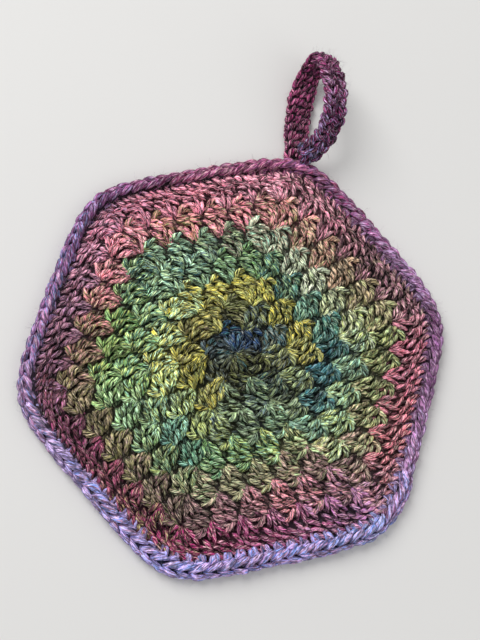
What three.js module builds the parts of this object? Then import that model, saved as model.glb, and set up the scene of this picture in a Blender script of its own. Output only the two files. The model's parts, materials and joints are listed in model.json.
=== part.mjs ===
// Six-sided crocheted pot holder with a crocheted edging and a hanging loop.
// Millimetres, +Z up. The origin is the centre of the first round, on the underside.
// Three solids: the panel with its raised fans, the edging ring and the looped band.

import * as THREE from "three";

// ---- driving sizes -------------------------------------------------------------

// Feet of the last round's corner fans, seen from the centre, counter-clockwise.
const corners = [
  { name: "C", direction: -50.3, distance: 79.0 },
  { name: "B", direction: 10.8, distance: 76.1 },
  { name: "A", direction: 72.6, distance: 75.7 },
  { name: "F", direction: 133.0, distance: 75.5 },
  { name: "E", direction: 192.5, distance: 77.7 },
  { name: "D", direction: 250.3, distance: 80.1 },
];

// The six straight sides of the rim: which way each one faces and how far out it lies.
const sides = [
  { name: "CB", facing: -18.7, reach: 94.3 },
  { name: "BA", facing: 39.8, reach: 92.6 },
  { name: "AF", facing: 101.5, reach: 88.5 },
  { name: "FE", facing: 159.6, reach: 89.3 },
  { name: "ED", facing: 219.0, reach: 92.1 },
  { name: "DC", facing: 279.0, reach: 96.0 },
];
const cornerSharpness = 11.6; // a larger power gives sharper corners
const middleDrift = { x: -1.5, y: -1.3 }; // how far the middle rounds sit off centre

// The bump where the edging's last stitch meets its first one.
const join = { direction: -40.5, height: 1.5, spread: 2.5 };

// Rounds of fans.
const rounds = 7;
const stepsPerFan = 5; // mesh steps across a fan's top and along its height
const gapHeight = 3.3; // bottom of the dark gaps between the fans
const fanHeight = 5.3; // crest of a fan
const beadHeight = 6.1; // the knotted top of a fan
const fanUnevenness = 0.3;
const fanClimb = 0.35; // share of a round over which a fan rises from its foot
const fanEdgeFullness = 0.12; // how full a fan stays along its two edges
const knotStart = 0.6; // share of a round where the knotted top begins
const knotFull = 0.8;
const knotEdgeDrop = 0.9; // the knotted top is this much lower at its two ends
const overhang = 0.45; // how far the knotted top stands out over the next round
const wallHeight = 4.4; // the panel where it meets the edging

// Edging.
const edgingWidth = 7.5;
const seamGap = 0.4; // clearance between the panel and the edging
const edgingStitches = 90;
const stationsPerStitch = 2;

// The edging's section. inset runs in from the rim, up is above the table, and lump
// is how much the point rises and falls from stitch to stitch.
const edgingSection = [
  { inset: 7.5, up: 0.8, lump: 0 },
  { inset: 3.6, up: 0.3, lump: 0 },
  { inset: 0.9, up: 1.0, lump: 0 },
  { inset: 0.0, up: 3.1, lump: 0.25 },
  { inset: 0.9, up: 5.3, lump: 0.5 },
  { inset: 2.9, up: 6.2, lump: -0.5 },
  { inset: 5.2, up: 5.9, lump: 0.5 },
  { inset: 7.5, up: 4.6, lump: 0 },
];

// Hanging loop: the line along the middle of the band, from its foot at corner A, out
// over the table, round the far turn and back above itself. lean tips the band's width.
const loopPath = [
  { x: 33.4, y: 94.9, z: 2.5, lean: 0 },
  { x: 33.8, y: 104.1, z: 2.4, lean: 0 },
  { x: 35.3, y: 114.5, z: 2.4, lean: 2 },
  { x: 37.4, y: 123.4, z: 2.7, lean: 5 },
  { x: 40.4, y: 131.9, z: 4.2, lean: 10 },
  { x: 43.8, y: 138.2, z: 8.2, lean: 16 },
  { x: 46.2, y: 139.9, z: 14.6, lean: 20 },
  { x: 47.2, y: 136.0, z: 21.4, lean: 22 },
  { x: 47.5, y: 127.8, z: 25.6, lean: 22 },
  { x: 47.5, y: 118.5, z: 26.8, lean: 22 },
  { x: 47.0, y: 110.6, z: 24.6, lean: 20 },
  { x: 45.0, y: 104.2, z: 19.4, lean: 16 },
  { x: 41.6, y: 99.6, z: 13.6, lean: 10 },
  { x: 37.6, y: 97.2, z: 9.6, lean: 4 },
  { x: 34.2, y: 95.4, z: 7.2, lean: 0 },
];
const loopStitches = 24;

// The band's section: across its width, and out from the middle of its thickness.
const loopSection = [
  { across: -5.7, out: 0.0, lump: 0 },
  { across: -3.9, out: 1.8, lump: 0.35 },
  { across: 0.0, out: 1.3, lump: -0.2 },
  { across: 3.9, out: 1.8, lump: 0.35 },
  { across: 5.7, out: 0.0, lump: 0 },
  { across: 4.3, out: -1.6, lump: 0 },
  { across: 0.0, out: -1.7, lump: 0 },
  { across: -4.3, out: -1.6, lump: 0 },
];

const yarnColors = { panel: 0x6f7a5a, edging: 0x7d5b86, hanging_loop: 0x6a3158 };
const yarnRoughness = 0.95;

// Numbers that only set how mixed the fans' unevenness is.
const rowStride = 12.9898;
const fanStride = 78.233;
const waveSpread = 43758.5453;

const tiny = 1e-6; // guards a whole number against rounding

// ---- the plan --------------------------------------------------------------------

const radians = THREE.MathUtils.degToRad;

// Distance from the centre to the curve that lies inset inside the rim.
function rimDistance(angle, inset) {
  let sum = 0;
  for (const side of sides) {
    const share = Math.max(0, Math.cos(angle - radians(side.facing)) / (side.reach - inset));
    sum += share ** cornerSharpness;
  }
  const away = Math.atan2(
    Math.sin(angle - radians(join.direction)),
    Math.cos(angle - radians(join.direction)),
  );
  const bump = join.height * Math.max(0, 1 - inset / edgingWidth);
  const nearness = Math.exp(-((away / radians(join.spread)) ** 2));
  return sum ** (-1 / cornerSharpness) + bump * nearness;
}

function cornerPoint(index) {
  const corner = corners[index % corners.length];
  const angle = radians(corner.direction);
  return new THREE.Vector2(Math.cos(angle), Math.sin(angle)).multiplyScalar(corner.distance);
}

// A place on the panel: ring counts the rounds from the centre, share runs from 0 to 1
// along one of the six sides.
function panelPoint(side, ring, share) {
  const lastFoot = rounds - 1;
  const along = cornerPoint(side).lerp(cornerPoint(side + 1), share);
  const inner = Math.min(ring, lastFoot) / lastFoot;
  const drift = 4 * inner * (1 - inner);
  const point = along.clone().multiplyScalar(inner);
  point.x += middleDrift.x * drift;
  point.y += middleDrift.y * drift;
  if (ring > lastFoot) {
    const angle = along.angle();
    const reach = rimDistance(angle, edgingWidth + seamGap);
    const edge = new THREE.Vector2(Math.cos(angle), Math.sin(angle)).multiplyScalar(reach);
    point.lerp(edge, ring - lastFoot);
  }
  return point;
}

// ---- relief ----------------------------------------------------------------------

// A repeatable value between -1 and 1 that differs from fan to fan.
function uneven(row, fan) {
  const wave = Math.sin(row * rowStride + fan * fanStride) * waveSpread;
  return 2 * (wave - Math.floor(wave)) - 1;
}

// Height of the upper face. Each fan grows from a foot on one ring to its whole width on
// the next ring, and its knotted top stands over the gap between the next round's fans.
function panelHeight(side, ring, place) {
  const round = Math.min(Math.floor(ring + tiny), rounds - 1);
  if (ring > rounds - tiny) {
    return wallHeight;
  }
  const grown = ring - round;
  const fan = Math.floor(place + tiny);
  const offset = place - fan;
  const variation = fanUnevenness * uneven(side * rounds + round, fan);
  if (offset > grown + tiny) {
    const across = (offset - grown) / (1 - grown);
    const cover = THREE.MathUtils.clamp(1 - grown / overhang, 0, 1);
    const crest = Math.sqrt(Math.sin(Math.PI * across));
    return THREE.MathUtils.lerp(gapHeight, beadHeight + variation, cover * crest);
  }
  const across = grown > 0 ? Math.min(offset / grown, 1) : 0;
  const crest = Math.max(fanEdgeFullness, Math.sin(Math.PI * across));
  const climb = Math.min(1, grown / fanClimb);
  const knot = THREE.MathUtils.smoothstep(grown, knotStart, knotFull);
  const crown = THREE.MathUtils.lerp(fanHeight, beadHeight, knot) + variation;
  const edge = THREE.MathUtils.lerp(gapHeight, fanHeight - knotEdgeDrop, knot);
  return THREE.MathUtils.lerp(edge, crown, crest * climb);
}

// ---- meshes ----------------------------------------------------------------------

function yarnMesh(name, points, triangles) {
  const geometry = new THREE.BufferGeometry();
  geometry.setAttribute("position", new THREE.Float32BufferAttribute(points.flat(), 3));
  geometry.setIndex(triangles.flat());
  geometry.computeVertexNormals();
  const material = new THREE.MeshStandardMaterial({
    color: yarnColors[name],
    roughness: yarnRoughness,
    metalness: 0,
  });
  const mesh = new THREE.Mesh(geometry, material);
  mesh.name = name;
  return mesh;
}

// The panel is a hexagonal net of points, each ring with six more than the one inside.
function makePanel() {
  const fineRings = rounds * stepsPerFan;
  const points = [];
  const triangles = [];
  const firstOfRing = (ring) => (ring === 0 ? 0 : 1 + 3 * ring * (ring - 1));
  const at = (ring, place) => {
    const count = 6 * ring;
    return ring === 0 ? 0 : firstOfRing(ring) + (((place % count) + count) % count);
  };
  for (let ring = 0; ring <= fineRings; ring += 1) {
    for (let place = 0; place < Math.max(1, 6 * ring); place += 1) {
      const side = ring === 0 ? 0 : Math.floor(place / ring);
      const alongSide = ring === 0 ? 0 : place - side * ring;
      const flat = panelPoint(side, ring / stepsPerFan, ring === 0 ? 0 : alongSide / ring);
      const height = panelHeight(side, ring / stepsPerFan, alongSide / stepsPerFan);
      points.push([flat.x, flat.y, height]);
    }
  }
  for (let ring = 0; ring < fineRings; ring += 1) {
    for (let side = 0; side < 6; side += 1) {
      for (let step = 0; step <= ring; step += 1) {
        const inner = side * ring + step;
        const outer = side * (ring + 1) + step;
        triangles.push([at(ring, inner), at(ring + 1, outer), at(ring + 1, outer + 1)]);
        if (step < ring) {
          triangles.push([at(ring, inner), at(ring + 1, outer + 1), at(ring, inner + 1)]);
        }
      }
    }
  }
  const rimCount = 6 * fineRings;
  const firstLower = points.length;
  for (let place = 0; place < rimCount; place += 1) {
    const [x, y] = points[at(fineRings, place)];
    points.push([x, y, 0]);
  }
  const lowerCentre = points.length;
  points.push([0, 0, 0]);
  for (let place = 0; place < rimCount; place += 1) {
    const upper = at(fineRings, place);
    const upperNext = at(fineRings, place + 1);
    const lower = firstLower + place;
    const lowerNext = firstLower + ((place + 1) % rimCount);
    triangles.push([lower, lowerNext, upperNext], [lower, upperNext, upper]);
    triangles.push([lowerNext, lower, lowerCentre]);
  }
  return yarnMesh("panel", points, triangles);
}

// Joins rings of points into a tube: closed end to end, or with a cap at both ends.
function tubeTriangles(stations, around, endless) {
  const triangles = [];
  const at = (station, corner) => (station % stations) * around + (corner % around);
  for (let station = 0; station < (endless ? stations : stations - 1); station += 1) {
    for (let corner = 0; corner < around; corner += 1) {
      const here = at(station, corner);
      const beside = at(station, corner + 1);
      const ahead = at(station + 1, corner);
      const aheadBeside = at(station + 1, corner + 1);
      triangles.push([here, aheadBeside, beside], [here, ahead, aheadBeside]);
    }
  }
  if (!endless) {
    const last = (stations - 1) * around;
    for (let corner = 1; corner < around - 1; corner += 1) {
      triangles.push([0, corner, corner + 1], [last, last + corner + 1, last + corner]);
    }
  }
  return triangles;
}

// The edging follows the rim at even steps, with its braid rising and falling by turns.
function makeEdging() {
  const stations = edgingStitches * stationsPerStitch;
  const rimLine = [];
  for (let degree = 0; degree < 360; degree += 1) {
    const angle = radians(degree);
    const reach = rimDistance(angle, 0);
    rimLine.push(new THREE.Vector3(reach * Math.cos(angle), reach * Math.sin(angle), 0));
  }
  const rim = new THREE.CatmullRomCurve3(rimLine, true);
  rim.arcLengthDivisions = 4 * rimLine.length;
  const places = rim.getSpacedPoints(stations).slice(0, stations);
  const points = [];
  places.forEach((place, station) => {
    const angle = Math.atan2(place.y, place.x);
    const rise = station % stationsPerStitch === 0 ? 1 : -1;
    for (const { inset, up, lump } of edgingSection) {
      const reach = rimDistance(angle, inset);
      points.push([reach * Math.cos(angle), reach * Math.sin(angle), up + lump * rise]);
    }
  });
  return yarnMesh("edging", points, tubeTriangles(stations, edgingSection.length, true));
}

// The band sweeps its section along the loop's line, its width level or leaning.
function makeHangingLoop() {
  const line = new THREE.CatmullRomCurve3(loopPath.map(({ x, y, z }) => new THREE.Vector3(x, y, z)));
  const stations = loopStitches * stationsPerStitch + 1;
  const points = [];
  for (let station = 0; station < stations; station += 1) {
    const along = line.getUtoTmapping(station / (stations - 1));
    const middle = line.getPoint(along);
    const forward = line.getTangent(along);
    const row = along * (loopPath.length - 1);
    const before = loopPath[Math.floor(row)];
    const after = loopPath[Math.min(Math.floor(row) + 1, loopPath.length - 1)];
    const lean = radians(THREE.MathUtils.lerp(before.lean, after.lean, row - Math.floor(row)));
    const width = new THREE.Vector3(Math.cos(lean), 0, -Math.sin(lean));
    width.addScaledVector(forward, -width.dot(forward)).normalize();
    const outward = new THREE.Vector3().crossVectors(forward, width);
    const rise = station % stationsPerStitch === 0 ? 1 : -1;
    for (const { across, out, lump } of loopSection) {
      const point = middle.clone().addScaledVector(width, across);
      point.addScaledVector(outward, out + lump * rise);
      points.push(point.toArray());
    }
  }
  return yarnMesh("hanging_loop", points, tubeTriangles(stations, loopSection.length, false));
}

// ---- the object ------------------------------------------------------------------

const group = new THREE.Group();
group.name = "pot_holder";
group.add(makePanel(), makeEdging(), makeHangingLoop());

export default group;
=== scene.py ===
"""Six-sided crocheted pot holder: seven rounds of fans, a braided edging and a hanging loop.

Every strand of yarn that shows is a short plied tube. The strands are laid from short
tables in a fan's own directions, and the panel's plan carries them to their places.
"""

import functools
import json
import math
from collections import namedtuple

import bmesh
import bpy
import numpy as np
from mathutils import Matrix, Vector

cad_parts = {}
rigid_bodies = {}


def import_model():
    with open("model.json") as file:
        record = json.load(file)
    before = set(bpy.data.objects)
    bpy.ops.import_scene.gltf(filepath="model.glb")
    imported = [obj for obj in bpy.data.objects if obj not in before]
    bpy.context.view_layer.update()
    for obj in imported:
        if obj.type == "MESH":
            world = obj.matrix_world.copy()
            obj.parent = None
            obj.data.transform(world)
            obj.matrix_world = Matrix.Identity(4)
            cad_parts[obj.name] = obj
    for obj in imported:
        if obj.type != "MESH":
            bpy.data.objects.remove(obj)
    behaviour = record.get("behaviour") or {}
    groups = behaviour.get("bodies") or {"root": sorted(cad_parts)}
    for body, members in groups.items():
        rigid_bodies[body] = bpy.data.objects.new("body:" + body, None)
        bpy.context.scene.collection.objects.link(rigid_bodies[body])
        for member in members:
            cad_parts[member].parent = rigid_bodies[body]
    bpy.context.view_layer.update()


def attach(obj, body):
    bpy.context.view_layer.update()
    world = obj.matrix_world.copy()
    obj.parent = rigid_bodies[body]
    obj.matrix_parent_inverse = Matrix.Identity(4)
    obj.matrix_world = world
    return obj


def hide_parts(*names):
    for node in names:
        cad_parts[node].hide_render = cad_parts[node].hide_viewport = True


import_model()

bl_info = {
    "name": "Crocheted pot holder",
    "version": (1, 0, 0),
    "blender": (4, 5, 0),
    "location": "3D View > Sidebar > Pot holder",
    "description": "Builds a crocheted pot holder with its edging and hanging loop",
    "category": "Add Mesh",
}

MM = 0.001
TINY = 1e-6

# ---- the plan, in metres and degrees -------------------------------------------------

Corner = namedtuple("Corner", "name direction distance")
CORNERS = (
    Corner("C", -50.3, 0.0790),
    Corner("B", 10.8, 0.0761),
    Corner("A", 72.6, 0.0757),
    Corner("F", 133.0, 0.0755),
    Corner("E", 192.5, 0.0777),
    Corner("D", 250.3, 0.0801),
)

Side = namedtuple("Side", "name facing reach")
SIDES = (
    Side("CB", -18.7, 0.0943),
    Side("BA", 39.8, 0.0926),
    Side("AF", 101.5, 0.0885),
    Side("FE", 159.6, 0.0893),
    Side("ED", 219.0, 0.0921),
    Side("DC", 279.0, 0.0960),
)
CORNER_SHARPNESS = 11.6
MIDDLE_DRIFT = (-0.0015, -0.0013)
RING_CENTRE = (-0.0010, 0.0)

# The bump where the edging's last stitch meets its first.
JOIN_DIRECTION = -40.5
JOIN_HEIGHT = 0.0015
JOIN_SPREAD = 2.5

ROUNDS = 7
FIRST_STITCHES = 12
FAN_WIDTH = 0.0123
ROUND_HEIGHT = 0.0106
# The last round is taller, and the round before it is drawn out to meet it.
LAST_FOOT = ROUNDS - 1
LAST_ROUND_HEIGHT = 0.0170
LAST_FOOT_STRETCH = 1.12
# The panel's radius, counted in rounds of the common height.
EVEN_ROUNDS = 7.4

EDGING_ROUND = ROUNDS + 1
EDGING_WIDTH = 0.0075
EDGING_STITCHES = 97
EDGING_TWIST = 0.45
# The edging is rolled back at the near side and its legs stand high at the right.
ROLLED_SIDE = 277.0
ROLL = 0.0014
ROLL_START = 0.0005
ROLL_RAMP = 0.003
RAISED_SIDE = 15.0
RAISED_SHARE = 0.6
LEG_RISE = 0.0023
LEG_START = 0.004
LEG_RAMP = 0.0015
# Painted shade: the legs' colours darken by up to this share towards the raised side, for
# the braid's shade on them.
LEG_PAINTED_SHADE = 0.4
# Yarn above this height belongs to the worked face, and the rest to the back.
FACE_HEIGHT = 0.0022

LoopPlace = namedtuple("LoopPlace", "x y z lean")
LOOP_PATH = (
    LoopPlace(0.0338, 0.0949, 0.0025, 0),
    LoopPlace(0.0340, 0.1041, 0.0024, 0),
    LoopPlace(0.0353, 0.1145, 0.0024, 2),
    LoopPlace(0.0371, 0.1234, 0.0027, 5),
    LoopPlace(0.0398, 0.1322, 0.0042, 10),
    LoopPlace(0.0428, 0.1388, 0.0082, 16),
    LoopPlace(0.0447, 0.1407, 0.0146, 20),
    LoopPlace(0.0457, 0.1366, 0.0212, 22),
    LoopPlace(0.0466, 0.1280, 0.0254, 22),
    LoopPlace(0.0472, 0.1185, 0.0266, 22),
    LoopPlace(0.0469, 0.1104, 0.0246, 20),
    LoopPlace(0.0450, 0.1034, 0.0194, 16),
    LoopPlace(0.0416, 0.0981, 0.0140, 10),
    LoopPlace(0.0376, 0.0953, 0.0104, 4),
    LoopPlace(0.0330, 0.0940, 0.0090, 0),
)
LOOP_STITCHES = 27

# ---- stitches, in millimetres --------------------------------------------------------


class Strand(namedtuple("Strand", "name start middle end width")):
    """One strand, by three of its places, so that it can bow, and its width.

    A place is across, out and up: across runs round the panel, counter-clockwise, out
    runs away from the centre, and up is above the table.
    """

    @property
    def places(self):
        """Its three places, from its foot to its tip."""
        return self.start, self.middle, self.end


FAN = (
    Strand("post_left", (-1.8, 0.4, 2.6), (-3.1, 3.2, 5.1), (-3.3, 6.8, 4.0), 2.6),
    Strand("post_middle", (-1.1, 0.4, 2.8), (-1.6, 4.0, 5.3), (-0.8, 7.8, 4.3), 2.4),
    Strand("post_inner", (-0.7, 0.5, 2.7), (0.5, 3.7, 4.6), (1.7, 6.8, 3.9), 2.3),
    Strand("post_right", (-0.4, 0.7, 2.8), (2.0, 4.3, 5.3), (4.5, 7.9, 3.9), 2.8),
    Strand("wrap_right", (-0.5, 7.1, 4.0), (1.8, 8.8, 5.4), (4.4, 10.7, 3.9), 2.7),
    Strand("wrap_left", (-5.1, 6.4, 3.6), (-3.4, 8.1, 5.0), (-1.3, 9.6, 4.0), 2.3),
    Strand("knot_left", (-5.3, 9.1, 3.6), (-3.6, 10.9, 5.0), (-0.7, 12.1, 4.0), 2.3),
    Strand("knot_right", (0.3, 10.6, 3.8), (2.3, 11.7, 4.9), (4.5, 12.7, 3.8), 2.2),
    Strand("inner_left", (-4.4, 8.8, 3.6), (-2.9, 9.9, 4.4), (-0.6, 10.8, 3.6), 2.0),
    Strand("inner_right", (-1.2, 9.0, 3.6), (0.5, 10.1, 4.4), (2.4, 11.0, 3.6), 2.0),
    Strand("under_crown", (-3.2, 12.6, 3.4), (-0.6, 13.3, 4.2), (2.0, 13.4, 3.4), 2.0),
    Strand("crown", (3.4, 12.4, 3.6), (1.0, 14.8, 5.7), (-2.6, 15.7, 3.9), 2.8),
)
# The last round is taller, and the edging covers the tops of its stitches.
LAST_FAN = (
    Strand("post_left", (-0.4, 1.6, 2.8), (-1.4, 4.6, 4.8), (-2.1, 8.2, 4.2), 2.4),
    Strand("post_middle", (0.3, 2.0, 3.0), (0.2, 6.6, 5.3), (0.5, 11.0, 4.4), 2.3),
    Strand("post_inner", (0.7, 1.8, 2.8), (1.5, 5.0, 4.7), (2.2, 8.2, 4.0), 2.0),
    Strand("post_right", (0.9, 2.0, 2.8), (3.2, 6.0, 5.2), (5.5, 9.6, 4.0), 2.5),
    Strand("wrap_right", (1.2, 9.3, 4.0), (3.3, 10.7, 5.2), (5.7, 12.0, 4.0), 2.2),
    Strand("wrap_left", (-4.1, 8.2, 3.6), (-2.8, 10.3, 5.0), (-0.9, 12.6, 4.0), 2.2),
    Strand("inner_left", (-5.9, 11.4, 3.6), (-4.7, 12.3, 4.6), (-3.0, 13.2, 3.6), 2.0),
    Strand("inner_middle", (-3.2, 11.9, 3.4), (-1.9, 12.7, 4.4), (-0.2, 13.4, 3.4), 1.9),
    Strand("inner_right", (-0.6, 11.4, 3.8), (0.7, 12.3, 4.7), (2.3, 13.4, 3.8), 2.0),
    Strand("top_left", (-4.4, 13.0, 3.8), (-2.3, 13.9, 5.0), (0.0, 14.8, 4.0), 2.1),
    Strand("top_right", (1.4, 12.8, 3.8), (3.6, 13.7, 5.0), (6.2, 14.7, 4.0), 2.1),
    Strand("hem_1", (-6.2, 14.9, 3.6), (-4.8, 15.9, 4.7), (-3.2, 18.0, 3.8), 2.1),
    Strand("hem_2", (-3.0, 14.6, 3.6), (-1.6, 15.8, 4.8), (-0.2, 18.0, 3.8), 2.1),
    Strand("hem_3", (0.0, 14.8, 3.6), (1.4, 15.8, 4.8), (2.8, 18.0, 3.8), 2.1),
    Strand("hem_4", (3.2, 14.8, 3.6), (4.6, 15.9, 4.7), (6.0, 18.0, 3.8), 2.1),
)
BACK_FAN = (
    Strand("post_1", (-1.4, 0.6, 2.0), (-3.4, 4.2, 1.3), (-4.6, 7.8, 1.3), 2.5),
    Strand("post_2", (-0.7, 0.6, 2.0), (-1.5, 4.2, 1.1), (-2.0, 8.2, 1.2), 2.5),
    Strand("post_3", (0.2, 0.4, 2.0), (0.5, 4.2, 1.1), (0.5, 8.4, 1.2), 2.5),
    Strand("post_4", (0.9, 0.6, 2.0), (2.3, 4.2, 1.1), (3.0, 8.2, 1.2), 2.5),
    Strand("post_5", (1.6, 0.8, 2.0), (4.1, 4.4, 1.3), (5.4, 7.8, 1.3), 2.5),
    Strand("side_left", (-5.8, 2.2, 1.4), (-6.2, 5.0, 1.2), (-5.9, 8.0, 1.3), 2.3),
    Strand("side_right", (4.6, 1.4, 1.4), (5.4, 3.0, 1.3), (6.2, 4.8, 1.4), 2.3),
    Strand("knot_1", (-6.4, 8.2, 1.3), (-5.0, 9.2, 1.0), (-3.4, 10.6, 1.3), 2.6),
    Strand("knot_2", (-3.7, 8.4, 1.3), (-2.3, 9.4, 1.0), (-0.7, 10.8, 1.3), 2.6),
    Strand("knot_3", (-1.0, 8.4, 1.3), (0.4, 9.4, 1.0), (2.0, 10.8, 1.3), 2.6),
    Strand("knot_4", (1.7, 8.2, 1.3), (3.1, 9.2, 1.0), (4.7, 10.6, 1.3), 2.6),
    Strand("bar_1", (-5.6, 11.8, 1.4), (-3.4, 11.4, 1.1), (-1.2, 12.0, 1.4), 2.7),
    Strand("bar_2", (-1.4, 12.0, 1.4), (0.8, 11.5, 1.1), (3.0, 12.1, 1.4), 2.7),
    Strand("bar_3", (2.8, 12.1, 1.4), (4.6, 11.6, 1.1), (6.4, 12.0, 1.4), 2.6),
)
BACK_STRETCH = 1.36
# The twelve stitches of the first round. Their across is in degrees round the ring.
FIRST_STITCH = (
    Strand("post_1", (-6.0, 0.8, 3.2), (-7.0, 4.6, 5.6), (-9.0, 9.0, 4.2), 1.9),
    Strand("post_2", (6.0, 0.8, 3.0), (8.0, 4.8, 5.3), (7.0, 9.6, 4.0), 2.0),
)
# The fans of the first round are short, because its stitches start in the ring.
FIRST_FAN = (
    Strand("side_left", (-4.4, 7.6, 3.4), (-3.1, 8.9, 4.3), (-1.2, 9.9, 3.5), 1.9),
    Strand("side_right", (0.2, 8.7, 3.5), (2.0, 9.9, 4.3), (4.2, 10.6, 3.4), 1.9),
    Strand("knot_left", (-4.8, 10.0, 3.4), (-3.0, 11.3, 4.6), (-0.6, 12.1, 3.7), 2.1),
    Strand("knot_right", (0.4, 10.7, 3.6), (2.3, 11.8, 4.6), (4.4, 12.6, 3.5), 2.0),
    Strand("crown", (3.2, 12.4, 3.5), (1.0, 14.4, 5.0), (-2.4, 15.0, 3.7), 2.4),
)
# The edging: across runs along the rim, out runs from the rim, so it is minus inwards.
EDGING = (
    Strand("leg_left", (-0.5, -8.8, 2.3), (-1.0, -7.4, 2.9), (-1.6, -5.2, 3.2), 2.1),
    Strand("leg_right", (0.6, -8.8, 2.3), (1.2, -7.4, 2.9), (1.8, -5.2, 3.2), 2.1),
    Strand("between", (-2.6, -5.0, 3.0), (0.0, -5.6, 3.6), (2.6, -6.1, 3.0), 2.0),
    Strand("braid_in", (-4.1, -2.4, 4.2), (0.0, -3.6, 6.4), (4.1, -4.7, 4.3), 3.0),
    Strand("braid_out", (-3.8, -2.3, 4.0), (0.1, -1.3, 5.2), (3.8, -1.0, 3.8), 2.4),
    Strand("wall", (-3.2, -1.0, 2.8), (0.2, -0.9, 3.4), (3.8, -1.0, 2.2), 2.3),
    Strand("under_1", (-2.6, -9.0, 2.0), (-2.2, -6.0, 1.2), (-0.6, -3.0, 1.5), 2.6),
    Strand("under_2", (0.4, -9.2, 2.0), (0.8, -6.2, 1.1), (2.2, -3.2, 1.5), 2.6),
    Strand("under_bar", (-3.4, -8.8, 1.4), (-1.0, -8.4, 1.2), (1.6, -8.9, 1.4), 2.3),
    Strand("under_rim", (-3.6, -1.4, 1.9), (0.0, -2.3, 1.2), (3.8, -3.0, 1.6), 2.8),
)
# The loop: across runs along the band, out is across its width, up is off its middle.
LOOP = (
    Strand("rim_left", (-2.4, -5.1, 0.2), (0.0, -4.6, 1.4), (2.4, -3.6, 1.2), 2.2),
    Strand("v_left", (-2.4, -0.5, 1.2), (0.0, -1.7, 2.1), (2.4, -3.0, 1.1), 2.3),
    Strand("v_right", (-2.4, 0.5, 1.2), (0.0, 1.7, 2.1), (2.4, 3.0, 1.1), 2.3),
    Strand("rim_right", (-2.4, 5.1, 0.2), (0.0, 4.6, 1.4), (2.4, 3.6, 1.2), 2.2),
    Strand("bar_left", (-0.6, -3.8, 0.9), (0.8, -3.0, 1.6), (2.0, -1.9, 0.9), 1.8),
    Strand("bar_right", (-0.6, 3.8, 0.9), (0.8, 3.0, 1.6), (2.0, 1.9, 0.9), 1.8),
    Strand("bar_middle", (0.2, -1.2, 1.0), (1.6, 0.0, 1.6), (3.0, 1.2, 1.0), 1.8),
    Strand("edge_left", (-2.2, -5.0, -0.9), (0.0, -5.4, 0.0), (2.0, -4.8, 0.7), 2.0),
    Strand("edge_right", (-2.2, 5.0, -0.9), (0.0, 5.4, 0.0), (2.0, 4.8, 0.7), 2.0),
    Strand("inner_1", (-2.0, -4.6, -0.9), (0.0, -3.6, -1.7), (1.8, -2.4, -1.0), 2.0),
    Strand("inner_2", (-1.4, -2.8, -0.9), (0.2, -1.9, -1.6), (1.6, -0.8, -0.9), 1.9),
    Strand("inner_3", (-2.0, -1.1, -0.9), (0.0, -0.1, -1.7), (1.8, 1.0, -1.0), 2.0),
    Strand("inner_4", (-1.4, 0.7, -0.9), (0.2, 1.6, -1.6), (1.6, 2.7, -0.9), 1.9),
    Strand("inner_5", (-2.0, 2.4, -0.9), (0.0, 3.4, -1.6), (1.8, 4.5, -0.9), 2.0),
)

# How uneven the work is. A strand draws its own numbers from these ranges.
Range = namedtuple("Range", "low high")
FAN_SQUEEZE = Range(0.95, 1.05)
FAN_LIFT = Range(-0.2, 0.25)
FAN_WIDTHS = Range(0.82, 1.06)
FAN_DYE = Range(-0.02, 0.02)
RING_WIDTHS = Range(0.92, 1.1)
EDGING_WIDTHS = Range(0.92, 1.1)
EDGING_DYE = Range(-0.03, 0.02)
LOOP_WIDTHS = Range(0.85, 1.1)
SECOND_PLY_MIXING = Range(0.0, 0.4)
STRAND_SHADE = Range(0.78, 1.26)

# Short bits of yarn fill the gaps. outermost is how far out they reach in a fan.
Fillers = namedtuple("Fillers", "count outermost")
COMMON_FILLERS = Fillers(17, 12.5)
LAST_FILLERS = Fillers(24, 18.6)
FILLER_FOOT = 2.0
FILLER_SPREAD = 12
FILLER_ACROSS = Range(-0.6, 0.6)
FILLER_TURN = Range(0.2, 1.5)
FILLER_REACH = Range(1.4, 2.1)
FILLER_UP = Range(3.0, 3.8)
FILLER_DROP = 0.9
FILLER_WIDTHS = Range(1.6, 2.2)
FILLER_DYE = Range(-0.03, 0.03)
# Painted shade: the short bits' colours are darkened to this share, for the shade deep in
# the gaps.
FILLER_PAINTED_SHADE = 0.28
GOLDEN_SHARE = 0.618

# The back of the first round is its face turned over, pressed less deep.
RING_BACK_TOP = 2.3
RING_BACK_DEPTH = 0.3

# Yarn that lies lower than this is pressed flat against the table.
SQUASHED = 0.0007
# A round's colours stop just short of the next round's first ones.
LAST_SHARE = 0.985
LAST_EDGING_SHARE = 0.999

# ---- yarn ----------------------------------------------------------------------------

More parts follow.
